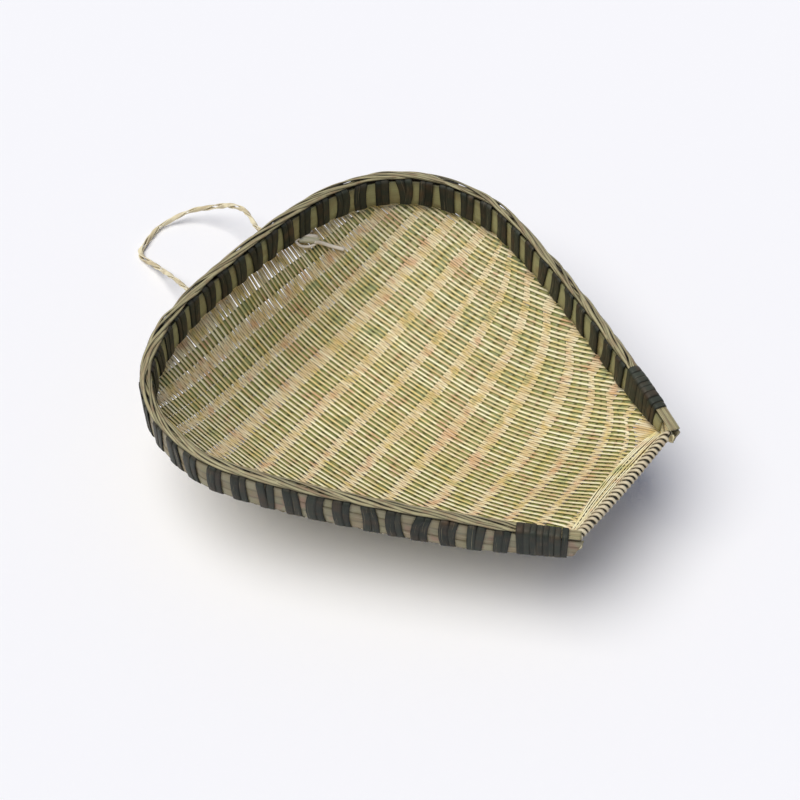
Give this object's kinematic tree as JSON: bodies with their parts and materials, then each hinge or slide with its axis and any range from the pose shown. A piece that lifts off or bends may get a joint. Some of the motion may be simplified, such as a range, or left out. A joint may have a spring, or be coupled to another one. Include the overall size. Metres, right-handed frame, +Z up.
{
  "type": "scoop-shaped woven draining basket",
  "caption": "Shallow scoop-shaped woven bamboo draining basket: bellied sheet in a horseshoe rim of two lashed hoops, open bound mouth, hanging loop at the back.",
  "frame": {"origin": "on the surface the basket rests on, under the middle of the basket's length and width, the hanging loop left out", "axes": "+Z up, -Y out of the open mouth, +X to the right of someone who looks along +Y into the mouth"},
  "size_m": [0.3098, 0.4643, 0.1],
  "materials": {
    "woven_bamboo": "woven bamboo strips, green skin and pale inner wood",
    "split_bamboo": "split bamboo, olive tan, satin",
    "cap_strip": "thin bamboo strip, pale green tan, satin",
    "dark_strip": "dark green-black vine strip, satin",
    "pale_strip": "pale bamboo strip, matte",
    "twisted_strip": "loosely twisted straw-coloured plant strip, matte"
  },
  "bodies": {
    "root": {"woven_sheet": "woven_bamboo", "outer_hoop": "split_bamboo", "inner_hoop": "split_bamboo", "cap_strip_inner": "cap_strip", "cap_strip_middle": "cap_strip", "cap_strip_outer": "cap_strip", "lashing_01": "dark_strip", "lashing_02": "dark_strip", "lashing_03": "dark_strip", "lashing_04": "dark_strip", "lashing_05": "dark_strip", "lashing_06": "dark_strip", "lashing_07": "dark_strip", "lashing_08": "dark_strip", "lashing_09": "dark_strip", "lashing_10": "dark_strip", "lashing_11": "dark_strip", "lashing_12": "dark_strip", "lashing_13": "dark_strip", "lashing_14": "dark_strip", "lashing_15": "dark_strip", "lashing_16": "dark_strip", "lashing_17": "dark_strip", "lashing_18": "dark_strip", "lashing_19": "dark_strip", "lashing_20": "dark_strip", "lashing_21": "dark_strip", "lashing_22": "dark_strip", "lashing_23": "dark_strip", "lashing_24": "dark_strip", "lashing_25": "dark_strip", "lashing_26": "dark_strip", "lashing_27": "dark_strip", "lashing_28": "dark_strip", "lashing_29": "dark_strip", "lashing_30": "dark_strip", "lashing_31": "dark_strip", "lashing_32": "dark_strip", "lashing_33": "dark_strip", "lashing_34": "dark_strip", "lashing_35": "dark_strip", "lashing_36": "dark_strip", "lashing_37": "dark_strip", "lashing_38": "dark_strip", "lashing_39": "dark_strip", "lashing_40": "dark_strip", "lashing_41": "dark_strip", "lashing_42": "dark_strip", "lashing_43": "dark_strip", "lashing_44": "dark_strip", "lashing_45": "dark_strip", "lashing_46": "dark_strip", "lashing_47": "dark_strip", "lashing_48": "dark_strip", "end_binding_left": "dark_strip", "end_binding_right": "dark_strip", "mouth_rod": "pale_strip", "mouth_binding": "pale_strip", "hanging_loop": "twisted_strip", "loop_knot": "twisted_strip"}
  },
  "joints": []
}
